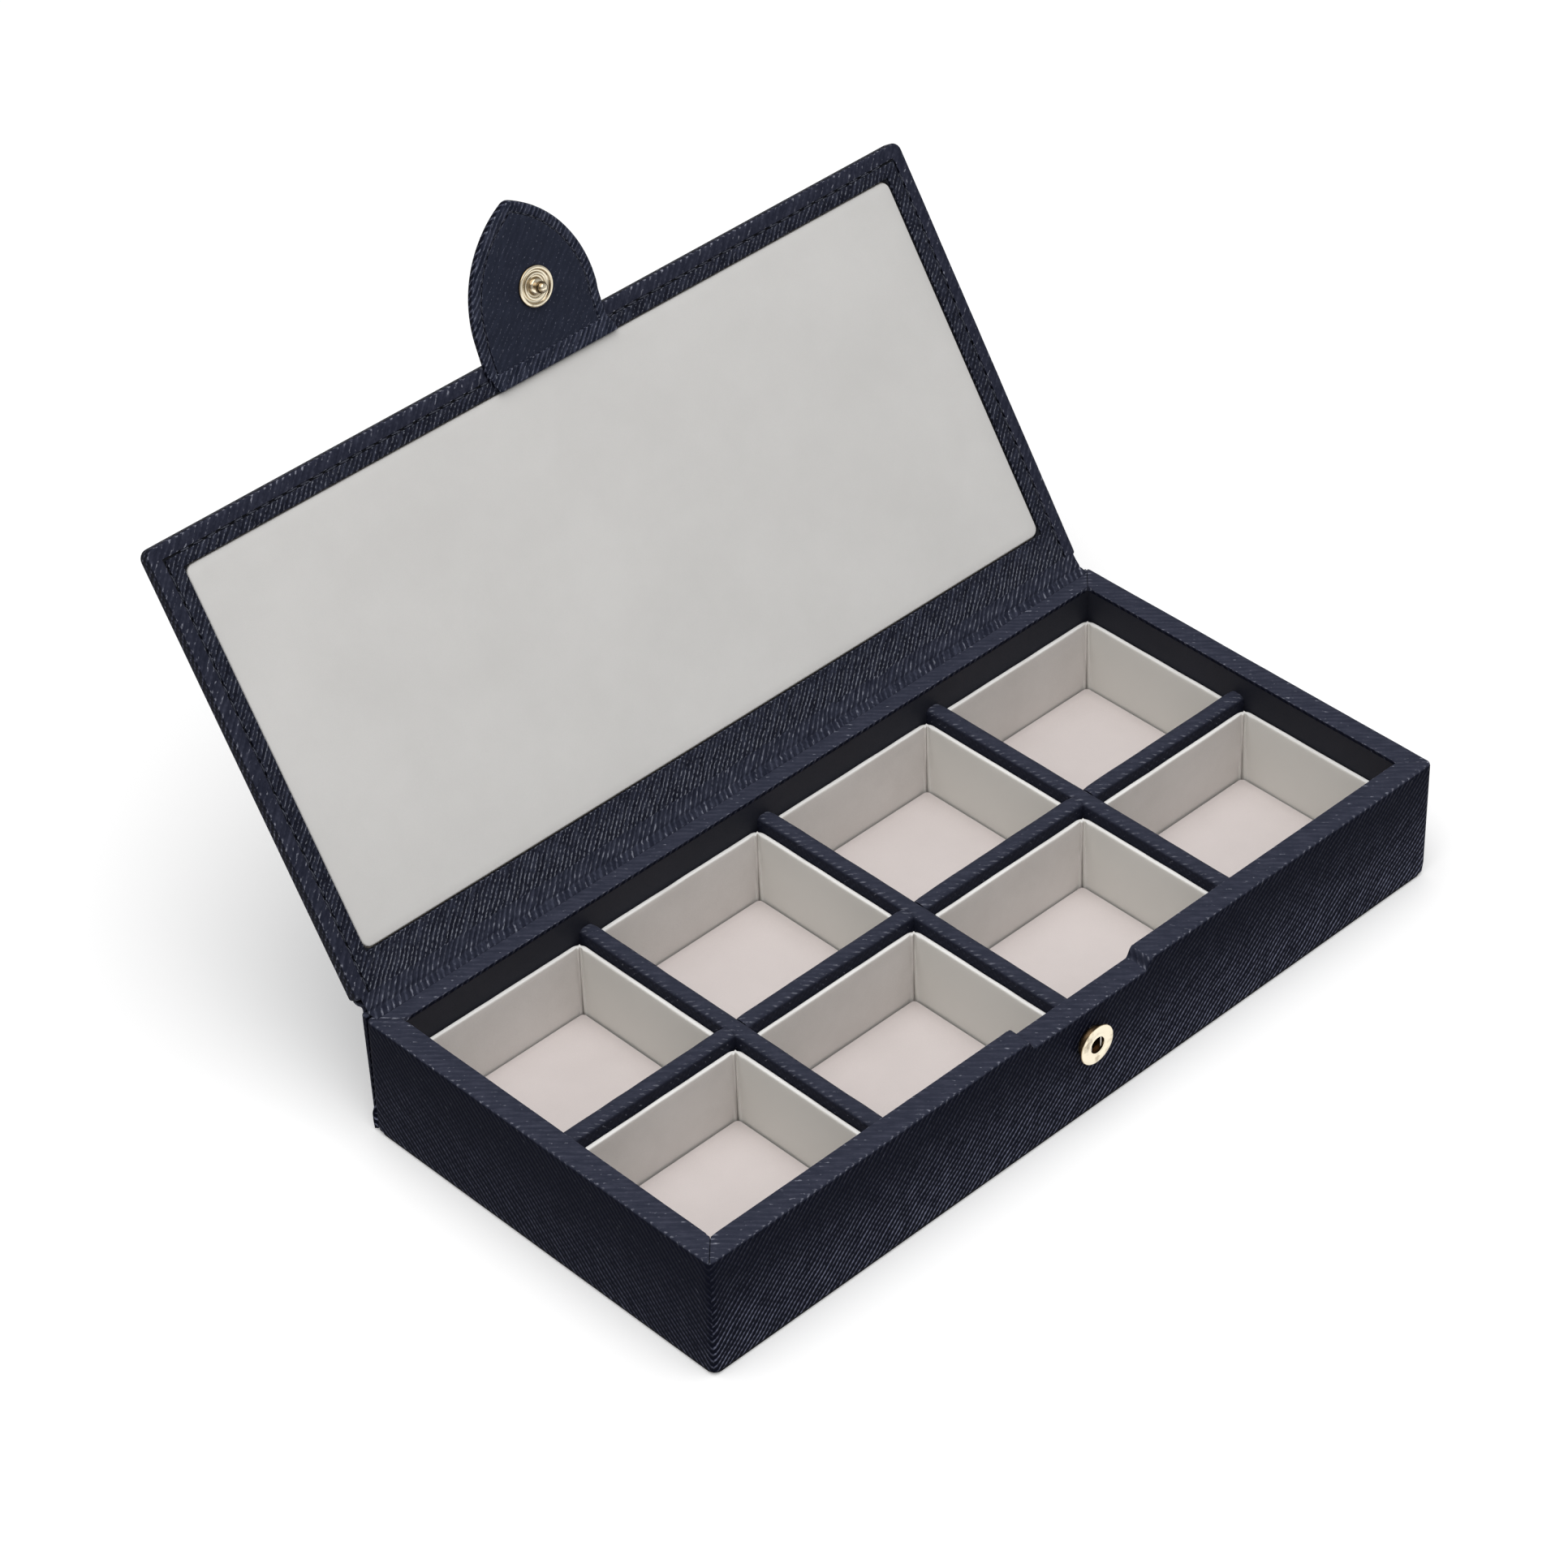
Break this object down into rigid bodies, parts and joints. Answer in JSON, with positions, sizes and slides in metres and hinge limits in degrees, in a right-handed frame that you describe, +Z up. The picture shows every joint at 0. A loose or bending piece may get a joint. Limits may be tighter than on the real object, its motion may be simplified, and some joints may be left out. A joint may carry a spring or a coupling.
{
  "type": "leather cufflink box",
  "caption": "Low leather-covered box with suede-lined compartments, a leather-hinged lid with a suede panel, and a pointed tab that closes on a press stud.",
  "frame": {"origin": "centre of the tray's underside, on the surface that it stands on", "axes": "+X along the box, +Y from the snap's wall to the hinge, +Z up"},
  "size_m": [0.23, 0.1818, 0.1593],
  "materials": {
    "navy_leather": "cross-grained",
    "smooth_lining": "smooth",
    "compartment_suede": "suede",
    "panel_suede": "suede",
    "board": "plain",
    "base_cloth": "felt",
    "gold_metal": "pale, polished",
    "bronze_metal": "dark",
    "spring_steel": "plain",
    "thread": "waxed"
  },
  "bodies": {
    "tray": {"base_cover": "base_cloth", "base_board": "board", "front_wall_board": "board", "rear_wall_board": "board", "left_wall_board": "board", "right_wall_board": "board", "tray_leather": "navy_leather", "tray_lining": "smooth_lining", "spine_board": "board", "spine_leather": "navy_leather", "long_divider_core": "board", "long_divider_leather": "navy_leather", "cross_divider_core_1": "board", "cross_divider_core_2": "board", "cross_divider_core_3": "board", "cross_divider_leather_1": "navy_leather", "cross_divider_leather_2": "navy_leather", "cross_divider_leather_3": "navy_leather", "liner_front_1": "compartment_suede", "liner_front_2": "compartment_suede", "liner_front_3": "compartment_suede", "liner_front_4": "compartment_suede", "liner_rear_1": "compartment_suede", "liner_rear_2": "compartment_suede", "liner_rear_3": "compartment_suede", "liner_rear_4": "compartment_suede", "floor_pad_front_1": "compartment_suede", "floor_pad_front_2": "compartment_suede", "floor_pad_front_3": "compartment_suede", "floor_pad_front_4": "compartment_suede", "floor_pad_rear_1": "compartment_suede", "floor_pad_rear_2": "compartment_suede", "floor_pad_rear_3": "compartment_suede", "floor_pad_rear_4": "compartment_suede", "socket_cap": "gold_metal", "socket_body": "bronze_metal", "socket_spring": "spring_steel", "socket_eyelet": "bronze_metal", "outer_hinge_leather": "navy_leather", "inner_hinge_leather": "navy_leather"},
    "lid": {"lid_board": "board", "lid_frame_card": "board", "lid_leather": "navy_leather", "lid_border_leather": "navy_leather", "lid_panel_card": "board", "lid_panel_suede": "panel_suede", "lid_seam_thread": "thread", "tab_root": "navy_leather", "tab_fold_leather": "navy_leather"},
    "tab": {"tab_outer_leather": "navy_leather", "tab_inner_leather": "navy_leather", "tab_seam_thread": "thread", "snap_stud": "gold_metal", "stud_rivet": "bronze_metal"}
  },
  "joints": [
    {"name": "lid_hinge", "type": "hinge", "parent": "tray", "child": "lid", "pos_m": [0, 0.0566, 0.034], "axis": [1, 0, 0], "range_deg": [0, 123], "deforming": ["outer_hinge_leather", "inner_hinge_leather"]},
    {"name": "tab_fold", "type": "hinge", "parent": "lid", "child": "tab", "pos_m": [0, 0.1153, 0.13193], "axis": [1, 0, 0], "range_deg": [0, 73], "deforming": ["tab_fold_leather"]}
  ]
}
